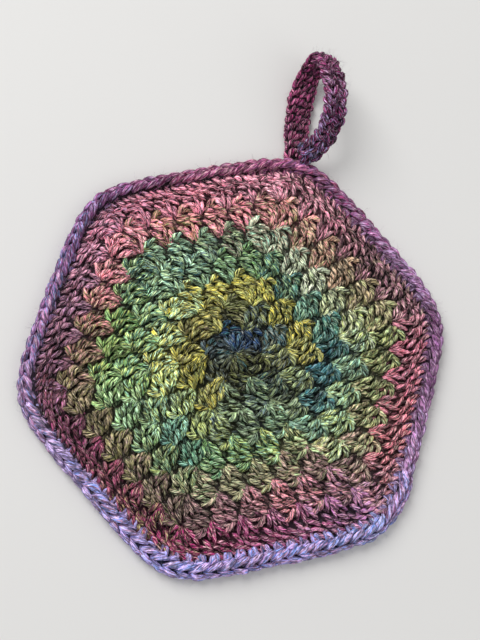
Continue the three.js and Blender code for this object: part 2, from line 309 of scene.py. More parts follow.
# The dyer's colours, as sRGB.
DYES = {
    "ink": (0.08, 0.16, 0.28),
    "navy": (0.15, 0.28, 0.45),
    "slate": (0.32, 0.38, 0.40),
    "petrol": (0.18, 0.37, 0.40),
    "teal": (0.26, 0.46, 0.44),
    "pine": (0.22, 0.38, 0.30),
    "leaf": (0.42, 0.58, 0.34),
    "mint": (0.66, 0.80, 0.68),
    "aqua": (0.50, 0.68, 0.60),
    "sage": (0.58, 0.66, 0.48),
    "lime": (0.70, 0.74, 0.42),
    "cream": (0.82, 0.81, 0.70),
    "bark": (0.26, 0.26, 0.18),
    "olive": (0.36, 0.37, 0.22),
    "moss": (0.47, 0.50, 0.28),
    "khaki": (0.58, 0.55, 0.36),
    "mustard": (0.78, 0.72, 0.30),
    "brown": (0.38, 0.31, 0.24),
    "taupe": (0.54, 0.46, 0.42),
    "beige": (0.70, 0.62, 0.52),
    "tan": (0.76, 0.58, 0.44),
    "salmon": (0.86, 0.53, 0.56),
    "coral": (0.76, 0.40, 0.46),
    "rose": (0.86, 0.52, 0.62),
    "blush": (0.90, 0.70, 0.74),
    "dusty_rose": (0.70, 0.50, 0.56),
    "mauve": (0.60, 0.44, 0.56),
    "plum_brown": (0.42, 0.28, 0.32),
    "maroon": (0.40, 0.20, 0.25),
    "magenta": (0.68, 0.17, 0.44),
    "damson": (0.30, 0.14, 0.27),
    "mulberry": (0.48, 0.16, 0.34),
    "berry": (0.60, 0.20, 0.40),
    "plum": (0.42, 0.24, 0.40),
    "purple": (0.58, 0.38, 0.58),
    "lavender": (0.70, 0.60, 0.76),
    "lilac": (0.74, 0.62, 0.82),
    "periwinkle": (0.48, 0.56, 0.82),
    "slate_blue": (0.46, 0.48, 0.66),
    "grey_blue": (0.60, 0.64, 0.74),
}

# Where the yarn's colours change. A place is its round and the share of the round
# already worked, counter-clockwise from corner C. Two plies of unlike colour are spun
# together, and flecks of a third colour run through both.
Dyed = namedtuple("Dyed", "place ply other_ply fleck")
DYED_PARTS = ("ply", "other_ply", "fleck")
YARN = (
    Dyed(1.00, "bark", "olive", "moss"),
    Dyed(1.08, "olive", "bark", "moss"),
    Dyed(1.16, "navy", "bark", "ink"),
    Dyed(1.25, "navy", "ink", "slate"),
    Dyed(1.34, "navy", "ink", "slate"),
    Dyed(1.42, "ink", "navy", "petrol"),
    Dyed(1.50, "slate", "ink", "bark"),
    Dyed(1.62, "slate", "bark", "petrol"),
    Dyed(1.75, "olive", "slate", "bark"),
    Dyed(1.90, "bark", "olive", "moss"),
    Dyed(2.00, "petrol", "bark", "olive"),
    Dyed(2.08, "olive", "slate", "sage"),
    Dyed(2.15, "moss", "slate", "khaki"),
    Dyed(2.24, "ink", "petrol", "slate"),
    Dyed(2.31, "olive", "moss", "slate"),
    Dyed(2.40, "moss", "olive", "khaki"),
    Dyed(2.50, "khaki", "moss", "mustard"),
    Dyed(2.56, "moss", "khaki", "brown"),
    Dyed(2.65, "mustard", "moss", "olive"),
    Dyed(2.72, "olive", "moss", "mustard"),
    Dyed(2.78, "moss", "mustard", "khaki"),
    Dyed(2.86, "moss", "slate", "sage"),
    Dyed(2.93, "slate", "sage", "pine"),
    Dyed(3.00, "slate", "sage", "olive"),
    Dyed(3.08, "moss", "slate", "sage"),
    Dyed(3.16, "khaki", "moss", "mustard"),
    Dyed(3.24, "moss", "olive", "mustard"),
    Dyed(3.31, "mustard", "lime", "khaki"),
    Dyed(3.42, "mustard", "khaki", "lime"),
    Dyed(3.50, "mustard", "sage", "mint"),
    Dyed(3.58, "mustard", "sage", "mint"),
    Dyed(3.66, "lime", "mustard", "mint"),
    Dyed(3.74, "lime", "sage", "mint"),
    Dyed(3.80, "lime", "sage", "moss"),
    Dyed(3.88, "moss", "slate", "sage"),
    Dyed(3.95, "slate", "sage", "pine"),
    Dyed(4.00, "sage", "aqua", "moss"),
    Dyed(4.05, "petrol", "slate", "aqua"),
    Dyed(4.13, "petrol", "pine", "navy"),
    Dyed(4.20, "teal", "pine", "mint"),
    Dyed(4.28, "pine", "sage", "petrol"),
    Dyed(4.36, "sage", "leaf", "pine"),
    Dyed(4.46, "petrol", "sage", "mint"),
    Dyed(4.52, "pine", "sage", "mint"),
    Dyed(4.60, "aqua", "lime", "leaf"),
    Dyed(4.67, "leaf", "lime", "aqua"),
    Dyed(4.72, "sage", "aqua", "lime"),
    Dyed(4.79, "teal", "aqua", "pine"),
    Dyed(4.86, "leaf", "sage", "pine"),
    Dyed(4.93, "lime", "leaf", "aqua"),
    Dyed(5.00, "beige", "sage", "khaki"),
    Dyed(5.05, "mint", "sage", "lime"),
    Dyed(5.12, "aqua", "sage", "slate"),
    Dyed(5.18, "cream", "lime", "sage"),
    Dyed(5.24, "sage", "cream", "slate"),
    Dyed(5.32, "cream", "aqua", "beige"),
    Dyed(5.38, "taupe", "sage", "pine"),
    Dyed(5.44, "petrol", "sage", "mint"),
    Dyed(5.50, "moss", "petrol", "mint"),
    Dyed(5.57, "leaf", "pine", "lime"),
    Dyed(5.65, "leaf", "lime", "pine"),
    Dyed(5.72, "sage", "mint", "leaf"),
    Dyed(5.79, "moss", "pine", "sage"),
    Dyed(5.86, "taupe", "sage", "beige"),
    Dyed(5.93, "khaki", "taupe", "sage"),
    Dyed(6.00, "dusty_rose", "taupe", "brown"),
    Dyed(6.06, "khaki", "sage", "beige"),
    Dyed(6.15, "sage", "moss", "khaki"),
    Dyed(6.22, "khaki", "beige", "taupe"),
    Dyed(6.30, "salmon", "beige", "khaki"),
    Dyed(6.38, "salmon", "rose", "beige"),
    Dyed(6.45, "rose", "tan", "moss"),
    Dyed(6.52, "rose", "salmon", "blush"),
    Dyed(6.58, "salmon", "taupe", "khaki"),
    Dyed(6.66, "taupe", "khaki", "brown"),
    Dyed(6.74, "khaki", "olive", "taupe"),
    Dyed(6.81, "taupe", "olive", "plum_brown"),
    Dyed(6.87, "taupe", "dusty_rose", "plum_brown"),
    Dyed(6.93, "dusty_rose", "salmon", "brown"),
    Dyed(7.00, "mauve", "dusty_rose", "taupe"),
    Dyed(7.06, "salmon", "taupe", "coral"),
    Dyed(7.12, "coral", "dusty_rose", "rose"),
    Dyed(7.18, "plum_brown", "taupe", "dusty_rose"),
    Dyed(7.24, "plum_brown", "brown", "dusty_rose"),
    Dyed(7.29, "rose", "dusty_rose", "taupe"),
    Dyed(7.36, "rose", "blush", "dusty_rose"),
    Dyed(7.43, "rose", "salmon", "dusty_rose"),
    Dyed(7.50, "dusty_rose", "rose", "mauve"),
    Dyed(7.58, "mauve", "dusty_rose", "plum_brown"),
    Dyed(7.65, "plum_brown", "maroon", "mauve"),
    Dyed(7.73, "maroon", "plum_brown", "berry"),
    Dyed(7.80, "berry", "maroon", "khaki"),
    Dyed(7.87, "magenta", "maroon", "dusty_rose"),
    Dyed(7.94, "mauve", "berry", "dusty_rose"),
    Dyed(7.99, "mauve", "purple", "dusty_rose"),
    Dyed(8.00, "lavender", "periwinkle", "mauve"),
    Dyed(8.05, "mauve", "lavender", "purple"),
    Dyed(8.14, "purple", "plum", "mauve"),
    Dyed(8.21, "lavender", "mauve", "purple"),
    Dyed(8.29, "mauve", "purple", "berry"),
    Dyed(8.36, "berry", "plum", "dusty_rose"),
    Dyed(8.41, "mauve", "berry", "dusty_rose"),
    Dyed(8.46, "mulberry", "plum", "mauve"),
    Dyed(8.52, "purple", "plum", "slate_blue"),
    Dyed(8.60, "mauve", "purple", "slate_blue"),
    Dyed(8.68, "lavender", "mauve", "slate_blue"),
    Dyed(8.76, "lavender", "periwinkle", "mauve"),
    Dyed(8.84, "periwinkle", "lilac", "lavender"),
    Dyed(8.92, "periwinkle", "lilac", "mauve"),
    Dyed(8.999, "periwinkle", "grey_blue", "lilac"),
)
UNDYED = (0.62, 0.62, 0.52, 1.0)
LOOP_YARN = (
    Dyed(0.0, "berry", "damson", "dusty_rose"),
    Dyed(0.4, "mulberry", "damson", "berry"),
    Dyed(0.6, "mulberry", "damson", "mauve"),
    Dyed(1.0, "mulberry", "damson", "slate_blue"),
)


# ---- settings that a user would change -----------------------------------------------


class YarnSettings(bpy.types.PropertyGroup):
    """Sizes of the yarn and how loosely it is worked."""

    thickness: bpy.props.FloatProperty(
        name="Thickness",
        description="Yarn thickness as a share of the worked pattern's own",
        default=1.06,
        min=0.5,
        max=1.5,
        subtype="FACTOR",
    )
    twist: bpy.props.FloatProperty(
        name="Twist",
        description="Turns of the plies in one metre of yarn",
        default=95.0,
        min=0.0,
    )
    ply_depth: bpy.props.FloatProperty(
        name="Ply depth",
        description="Depth of the groove between the plies as a share of the radius",
        default=0.15,
        min=0.0,
        max=0.4,
        subtype="FACTOR",
    )
    looseness: bpy.props.FloatProperty(
        name="Looseness",
        description="How far the end of a strand may stray from its even place",
        default=0.0006,
        min=0.0,
        unit="LENGTH",
    )
    fuzz_count: bpy.props.IntProperty(
        name="Fuzz",
        description="Number of loose wool fibres that stand off the yarn",
        default=5000,
        min=0,
    )
    fuzz_length: bpy.props.FloatProperty(
        name="Fuzz length",
        description="Length of an average loose fibre",
        default=0.0032,
        min=0.0,
        unit="LENGTH",
    )


class StageSettings(bpy.types.PropertyGroup):
    """The floor, the camera and the studio lights."""

    floor_color: bpy.props.FloatVectorProperty(
        name="Floor",
        description="Colour of the floor",
        default=(0.71, 0.70, 0.68),
        min=0.0,
        max=1.0,
        subtype="COLOR",
    )
    key_power: bpy.props.FloatProperty(
        name="Key light",
        description="Power of the large soft light at the upper left",
        default=42.0,
        min=0.0,
        unit="POWER",
    )
    sky_strength: bpy.props.FloatProperty(
        name="Sky",
        description="Brightness of the even light from all round",
        default=0.52,
        min=0.0,
    )
    camera_place: bpy.props.FloatVectorProperty(
        name="Camera",
        description="Where the camera stands",
        default=(-0.0905, -0.0775, 0.4416),
        subtype="TRANSLATION",
    )
    camera_tip: bpy.props.FloatVectorProperty(
        name="Camera turn",
        description="How the camera is tipped about X and then about Y",
        default=(0.2085, -0.2040, 0.0),
        subtype="EULER",
    )
    camera_lens: bpy.props.FloatProperty(
        name="Lens",
        description="Focal length of the camera in millimetres",
        default=56.25,
        min=1.0,
    )


# ---- places on the pot holder --------------------------------------------------------


def rim_distance(angle, inset):
    """Distance from the centre to the curve that lies inset inside the rim."""
    total = sum(
        max(0.0, math.cos(angle - math.radians(side.facing)) / (side.reach - inset))
        ** CORNER_SHARPNESS
        for side in SIDES
    )
    away = angle - math.radians(JOIN_DIRECTION)
    away = math.atan2(math.sin(away), math.cos(away)) / math.radians(JOIN_SPREAD)
    bump = JOIN_HEIGHT * max(0.0, 1 - inset / EDGING_WIDTH)
    return total ** (-1 / CORNER_SHARPNESS) + bump * math.exp(-(away**2))


def at_angle(angle, distance):
    """The flat point that lies this far from the centre in this direction."""
    return Vector((math.cos(angle), math.sin(angle))) * distance


CORNER_POINTS = [at_angle(math.radians(c.direction), c.distance) for c in CORNERS]


def panel_point(ring, place):
    """The point that lies place fans round the ring, counted from corner C."""
    ring = max(ring, TINY)
    place %= 6 * ring
    side = min(int(place / ring), 5)
    share = place / ring - side
    along = CORNER_POINTS[side].lerp(CORNER_POINTS[(side + 1) % 6], share)
    inner = min(ring, LAST_FOOT) / LAST_FOOT
    drift = 4 * inner * (1 - inner)
    point = along * inner + Vector(MIDDLE_DRIFT) * drift
    if ring > LAST_FOOT:
        angle = math.atan2(along.y, along.x)
        edge = at_angle(angle, rim_distance(angle, EDGING_WIDTH))
        point = point.lerp(edge, ring - LAST_FOOT)
    return point


def fan_point(round_number, fan, across, out, up):
    """A place in one fan, in millimetres from its foot, as a point of the pot holder."""
    foot_ring = round_number - 1
    if round_number == ROUNDS:
        ring = foot_ring + out * MM / LAST_ROUND_HEIGHT
    else:
        stretch = LAST_FOOT_STRETCH if round_number == LAST_FOOT else 1.0
        ring = foot_ring + out * MM / ROUND_HEIGHT * stretch
        beyond = max(0.0, ring - LAST_FOOT)
        ring -= beyond * (1 - ROUND_HEIGHT / LAST_ROUND_HEIGHT)
    side, step = divmod(fan, round_number)
    grown = ring - foot_ring
    lateral = across * MM / FAN_WIDTH
    foot_place = side * ring + step
    flat = panel_point(ring, foot_place + 0.5 * grown + lateral)
    return Vector((flat.x, flat.y, up * MM))


def worked_share(point):
    """The share of its round that is worked when the yarn reaches a point's direction."""
    direction = math.degrees(math.atan2(point.y, point.x))
    return (direction - CORNERS[0].direction) % 360 / 360


def ramp(value, start, length):
    """Rises from 0 to 1 over a length that begins at start."""
    return min(1.0, max(0.0, value - start) / length)


def lengths_along(points):
    """How far along a line each of its points lies."""
    steps = np.linalg.norm(np.diff(points, axis=0), axis=1)
    return np.concatenate([[0.0], np.cumsum(steps)])


class RimLine:
    """The rim, measured along its length."""

    STEP_DEGREES = 0.25

    def __init__(self):
        steps = np.arange(0, 360 + self.STEP_DEGREES / 2, self.STEP_DEGREES)
        self.angles = np.radians(steps)
        reach = np.array([rim_distance(angle, 0.0) for angle in self.angles])
        points = np.stack([reach * np.cos(self.angles), reach * np.sin(self.angles)], axis=1)
        self.lengths = lengths_along(points)
        self.length = self.lengths[-1]
        first_corner = math.radians(CORNERS[0].direction + 360)
        self.start = np.interp(first_corner, self.angles, self.lengths)

    def angle(self, along):
        """The direction in which the rim has run this far."""
        return float(np.interp(along % self.length, self.lengths, self.angles))

    def point(self, along, out, up):
        """A point along the rim, out from it, and up above the table, in metres."""
        angle = self.angle(along)
        flat = at_angle(angle, rim_distance(angle, -out))
        return Vector((flat.x, flat.y, up))

    def worked_point(self, along, out, up):
        """The same, where the edging is rolled back and where its legs are raised."""
        angle = self.angle(along)
        near = max(0.0, math.cos(angle - math.radians(ROLLED_SIDE))) ** 2
        raised = max(near, RAISED_SHARE * math.cos(angle - math.radians(RAISED_SIDE)))
        if up > FACE_HEIGHT:
            out -= ROLL * near * ramp(-out, ROLL_START, ROLL_RAMP)
            up += LEG_RISE * raised * ramp(-out, LEG_START, LEG_RAMP)
        return self.point(along, out, up)


class LoopLine:
    """The middle line of the hanging loop's band, measured along its length."""

    SAMPLES = 400
    REACH = 0.0015

    def __init__(self):
        rows = np.array(LOOP_PATH)
        last = len(rows) - 1
        spots = np.linspace(0, last, self.SAMPLES)
        base = np.clip(spots.astype(int), 0, last - 1)
        share = (spots - base)[:, None]
        before, after = np.clip(base - 1, 0, last), np.clip(base + 2, 0, last)
        p0, p1, p2, p3 = rows[before], rows[base], rows[base + 1], rows[after]
        self.rows = 0.5 * (
            2 * p1
            + (p2 - p0) * share
            + (2 * p0 - 5 * p1 + 4 * p2 - p3) * share**2
            + (3 * p1 - p0 - 3 * p2 + p3) * share**3
        )
        self.lengths = lengths_along(self.rows[:, :3])
        self.length = self.lengths[-1]

    def directions(self, along):
        """The middle, the band's width direction and the way its outer face looks."""
        behind, here, ahead = (
            np.array([np.interp(spot, self.lengths, column) for column in self.rows.T])
            for spot in (along - self.REACH, along, along + self.REACH)
        )
        middle, lean = Vector(here[:3]), math.radians(here[3])
        forward = Vector(ahead[:3] - behind[:3]).normalized()
        width = Vector((math.cos(lean), 0, -math.sin(lean)))
        width = (width - forward * width.dot(forward)).normalized()
        if along < 0:
            middle += forward * along
        elif along > self.length:
            middle += forward * (along - self.length)
        return middle, width, forward.cross(width)

    def point(self, along, across, off):
        """A point along the band, across its width and off its middle, in metres."""
        middle, width, outward = self.directions(along)
        return middle + width * across + outward * off


# ---- yarn colours --------------------------------------------------------------------


def linear(color):
    """An sRGB colour as the linear one that shaders use."""
    return [c / 12.92 if c <= 0.04045 else ((c + 0.055) / 1.055) ** 2.4 for c in color]


DYE_COLORS = {name: np.array(linear(color)) for name, color in DYES.items()}


class Dyeing:
    """The colours along one length of yarn."""

    def __init__(self, table):
        self.places = [dyed.place for dyed in table]
        self.parts = [
            np.array([DYE_COLORS[getattr(dyed, part)] for dyed in table]).T
            for part in DYED_PARTS
        ]

    def at(self, place):
        """The colours of the two plies and of the flecks where the yarn reaches a place."""
        return [
            np.array([np.interp(place, self.places, column) for column in part])
            for part in self.parts
        ]


BALL = Dyeing(YARN)
LOOP_BALL = Dyeing(LOOP_YARN)


def shaded(colors, shade):
    """The colours of a strand, all darkened or lightened alike."""
    return [color * shade for color in colors]


def strand_colors(colors, rng):
    """The same colours as one strand shows them, with either ply lying uppermost."""
    ply, other_ply, fleck = colors
    if rng.uniform() < 0.5:
        ply, other_ply = other_ply, ply
    other_ply = other_ply + (ply - other_ply) * rng.uniform(*SECOND_PLY_MIXING)
    return shaded((ply, other_ply, fleck), rng.uniform(*STRAND_SHADE))


# ---- materials -----------------------------------------------------------------------


class Socket:
    """A node's output, so that shader maths can be written as Python expressions."""

    def __init__(self, shader, output):
        self.shader = shader
        self.output = output

    def _math(self, operation, first, second):
        settings = {"operation": operation}
        return self.shader.node("ShaderNodeMath", settings, {0: first, 1: second})

    def __add__(self, other):
        return self._math("ADD", self, other)

    def __radd__(self, other):
        return self._math("ADD", other, self)

    def __mul__(self, other):
        return self._math("MULTIPLY", self, other)

    def __rmul__(self, other):
        return self._math("MULTIPLY", other, self)


# What a pattern's noise is made with.
Noise = namedtuple("Noise", "scale detail roughness")
FIBRE_NOISE = Noise(2.3, 3.0, 0.64)
FINE_NOISE = Noise(6.0, 2.0, 0.6)
LUMP_NOISE = Noise(700.0, 2.0, 0.5)
FLOOR_NOISE = Noise(6.0, 3.0, 0.5)

# Spots of one colour on another: their noise, and between which of its values they begin.
Spots = namedtuple("Spots", "noise low high")
DYE_SPOTS = Spots(Noise(1.5, 2.0, 0.6), 0.47, 0.53)
FLECK_SPOTS = Spots(Noise(1.9, 2.0, 0.6), 0.53, 0.57)
PALE_FIBRE_AND_HIGHLIGHT_SPOTS = Spots(Noise(3.1, 2.0, 0.6), 0.56, 0.64)
FIBRE_SPOTS = Spots(FIBRE_NOISE, 0.41, 0.63)

# A number that rises from its base as a pattern's value goes from 0 to 1.
Spread = namedtuple("Spread", "base rise")
# Painted highlight and painted shade, partly the fibres' own tone: the fibre streaks and the
# fine pattern lighten and darken the dyes by these spreads.
SPUN_SHADE = Spread(0.05, 2.54)
SOFT_SHADE = Spread(0.38, 1.62)
FINE_SHADE = Spread(0.30, 1.4)
# Painted shade: the yarn's colour deep between the stitches is darkened to a few hundredths.
GROUND_PAINTED_SHADE = Spread(0.03, 0.10)
WOOL_ROUGHNESS = Spread(0.74, 0.2)

Relief = namedtuple("Relief", "strength depth")
FIBRE_RELIEF = Relief(0.9, 0.0007)
LUMP_RELIEF = Relief(0.6, 0.0005)

# Steps to other parts of the noise, so that two patterns of a strand don't agree.
BESIDE = (7.3, 1.9, 4.1)
BEYOND = (3.7, 8.5, 2.3)

# Pale specks, partly undyed fibres and partly painted highlights on the strands: how far
# they cover the dyes, how much they lighten them, and how far they then turn towards the
# undyed wool's own colour.
PALE_FIBRE_AND_HIGHLIGHT_SHARE = 0.8
PALE_FIBRE_AND_HIGHLIGHT_GAIN = (1.8, 1.8, 1.8, 1.0)
UNDYED_SHARE = 0.36
UNDYED = (0.62, 0.62, 0.52, 1.0)
FLOOR_CLOUDS = 0.97


def spread_over(spread, value):
    """The number that a pattern's value gives."""
    return spread.base + spread.rise * value


class Shader:
    """A material and the nodes that make it."""

    def __init__(self, name):
        self.material = bpy.data.materials.new(name)
        self.material.use_nodes = True
        self.tree = self.material.node_tree
        self.tree.nodes.clear()

    def node(self, kind, settings=None, inputs=None, output=0):
        """Adds a node with its settings, and the values or the links of its sockets."""
        node = self.tree.nodes.new(kind)
        for key, value in (settings or {}).items():
            setattr(node, key, value)
        for key, value in (inputs or {}).items():
            if isinstance(value, Socket):
                self.tree.links.new(value.output, node.inputs[key])
            else:
                node.inputs[key].default_value = value
        return Socket(self, node.outputs[output]) if node.outputs else None

    def attribute(self, name, output="Color"):
        return self.node("ShaderNodeAttribute", {"attribute_name": name}, output=output)

    def object_place(self):
        return self.node("ShaderNodeTexCoord", output="Object")

    def moved(self, vector, amount):
        inputs = {0: vector, 1: amount}
        return self.node("ShaderNodeVectorMath", {"operation": "ADD"}, inputs)

    def noise(self, vector, noise):
        inputs = {
            "Vector": vector,
            "Scale": noise.scale,
            "Detail": noise.detail,
            "Roughness": noise.roughness,
        }
        return self.node("ShaderNodeTexNoise", None, inputs)

    def steps(self, value, spots):
        inputs = {"Value": value, "From Min": spots.low, "From Max": spots.high}
        settings = {"clamp": True, "interpolation_type": "SMOOTHSTEP"}
        return self.node("ShaderNodeMapRange", settings, inputs)

    def spots(self, vector, spots):
        return self.steps(self.noise(vector, spots.noise), spots)

    def blend(self, share, first, second, mode="MIX"):
        settings = {"data_type": "RGBA", "blend_type": mode, "clamp_factor": True}
        inputs = {0: share, 6: first, 7: second}
        return self.node("ShaderNodeMix", settings, inputs, output=2)

    def shaded(self, color, shade):
        """The colour, darkened or lightened evenly by a value."""
        grey = self.node("ShaderNodeCombineColor", None, {0: shade, 1: shade, 2: shade})
        return self.blend(1.0, color, grey, "MULTIPLY")

    def bump(self, relief, height):
        inputs = {"Strength": relief.strength, "Distance": relief.depth, "Height": height}
        return self.node("ShaderNodeBump", None, inputs)

    def finish(self, inputs):
        """Ends the material with its surface, whose sockets are given."""
        surface = self.node("ShaderNodeBsdfPrincipled", None, inputs)
        self.node("ShaderNodeOutputMaterial", None, {"Surface": surface})
        return self.material


def wool_material(name, fibre_shade):
    """Spun wool: fibres of three dyes drawn out along the yarn, streaked with painted
    highlight and painted shade that are partly the fibres' own tone, and a matt face.
    """
    shader = Shader(name)
    spin = shader.attribute("spin", "Vector")
    beside = shader.moved(spin, BESIDE)
    other_dye = shader.spots(spin, DYE_SPOTS)
    flecks = shader.spots(beside, FLECK_SPOTS)
    pale = PALE_FIBRE_AND_HIGHLIGHT_SHARE * shader.spots(shader.moved(spin, BEYOND), PALE_FIBRE_AND_HIGHLIGHT_SPOTS)
    fibres = shader.noise(beside, FIBRE_NOISE)
    fine = shader.noise(spin, FINE_NOISE)

    color = shader.blend(other_dye, shader.attribute("ply"), shader.attribute("other_ply"))
    color = shader.blend(flecks, color, shader.attribute("fleck"))
    # Painted highlight, partly pale fibres: the specks lighten the dyes and turn them
    # towards the undyed wool.
    pale_and_highlit = shader.blend(1.0, color, PALE_FIBRE_AND_HIGHLIGHT_GAIN, "MULTIPLY")
    pale_and_highlit = shader.blend(UNDYED_SHARE, pale_and_highlit, UNDYED)
    color = shader.blend(pale, color, pale_and_highlit)
    # Painted highlight and painted shade, partly the fibres' own tone: the streaks lighten
    # and darken the dyes.
    shade = spread_over(fibre_shade, shader.steps(fibres, FIBRE_SPOTS))
    shade = shade * spread_over(FINE_SHADE, fine)
    return shader.finish(
        {
            "Base Color": shader.shaded(color, shade),
            "Roughness": spread_over(WOOL_ROUGHNESS, fine),
            "Normal": shader.bump(FIBRE_RELIEF, fibres),
            "Specular IOR Level": 0.18,
            "Sheen Weight": 0.04,
            "Sheen Roughness": 0.5,
        }
    )


@functools.cache
def spun_wool():
    """The yarn of the rounds, the loop and the loose fibres."""
    return wool_material("spun_wool", SPUN_SHADE)


@functools.cache
def soft_wool():
    """The same wool, with less painted highlight and shade, for the smooth arms of the
    edging.
    """
    return wool_material("soft_wool", SOFT_SHADE)


@functools.cache
def shaded_wool():
    """Painted shade: the yarn's colour darkened almost to black, for the yarn deep between
    the stitches.
    """
    shader = Shader("shaded_wool")
    lumps = shader.noise(shader.object_place(), LUMP_NOISE)
    shade = spread_over(GROUND_PAINTED_SHADE, lumps)
    return shader.finish(
        {
            "Base Color": shader.shaded(shader.attribute("ply"), shade),
            "Roughness": 0.95,
            "Normal": shader.bump(LUMP_RELIEF, lumps),
        }
    )


def floor_material(color):
    """A pale, faintly cloudy floor."""
    shader = Shader("pale_floor")
    cloudy = shader.noise(shader.object_place(), FLOOR_NOISE)
    darker = [FLOOR_CLOUDS * c for c in color]
    color = shader.blend(cloudy, (*color, 1.0), (*darker, 1.0))
    return shader.finish({"Base Color": color, "Roughness": 0.6})


# ---- meshes --------------------------------------------------------------------------


def new_object(name, data):
    """Puts an object into the scene."""
    made = bpy.data.objects.new(name, data)
    bpy.context.scene.collection.objects.link(made)
    return made


def new_piece(name, mesh):
    """Puts a piece of the pot holder into the scene."""
    piece = new_object(name, mesh)
    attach(piece, "root")
    return piece


def mapped_grid(columns, rows, place):
    """A grid whose points are carried to place(column share, row share)."""
    bm = bmesh.new()
    bmesh.ops.create_grid(bm, x_segments=columns, y_segments=rows, size=0.5)
    for vertex in bm.verts:
        vertex.co = place(vertex.co.x + 0.5, vertex.co.y + 0.5)
    bmesh.ops.remove_doubles(bm, verts=bm.verts, dist=TINY)
    return bm


def close_and_wrap(bm, name):
    """Turns the faces outwards, smooths them and keeps them as a mesh."""
    bmesh.ops.recalc_face_normals(bm, faces=bm.faces)
    for face in bm.faces:
        face.smooth = True
    mesh = bpy.data.meshes.new(name)
    bm.to_mesh(mesh)
    bm.free()
    return mesh


def ground_piece(name, bm, colors_at):
    """A piece of ground in painted shade that takes the yarn's colour where each point lies.
    """
    mesh = close_and_wrap(bm, name)
    attribute = mesh.attributes.new("ply", "FLOAT_COLOR", "POINT")
    for vertex, datum in zip(mesh.vertices, attribute.data):
        datum.color = (*colors_at(vertex.co), 1.0)
    mesh.materials.append(shaded_wool())
    return new_piece(name, mesh)


# A point of a core's section, in millimetres.
CorePoint = namedtuple("CorePoint", "out up")


def core_of_line(line, section, stitches):
    """A closed core that carries a section along the rim or the band."""
    sides = len(section)

    def place(column, row):
        point = section[round(row * sides) % sides]
        return line.point(column * line.length, point.out * MM, point.up * MM)

    bm = mapped_grid(2 * stitches, sides, place)
    ends = [edge for edge in bm.edges if edge.is_boundary]
    bmesh.ops.holes_fill(bm, edges=ends, sides=sides)
    return bm


# ---- strands -------------------------------------------------------------------------


def stray(rng, size):
    """A small step to any side."""
    return Vector(rng.uniform(-size, size, 3))


def unit(rows):
    """The same directions, each with a length of one."""
    return rows / np.linalg.norm(rows, axis=-1, keepdims=True)


class Tube:
    """Where each point of the plain tube lies, before it is bent along a strand."""

    def __init__(self, mesh):
        spots = np.array([vertex.co[:] for vertex in mesh.vertices])
        self.points = len(spots)
        self.share = np.clip(spots[:, 2], 0.0, 1.0)
        self.turn = np.arctan2(spots[:, 1], spots[:, 0])
        self.pole = np.hypot(spots[:, 0], spots[:, 1]) < 0.5


Laid = namedtuple("Laid", "points up width colors")


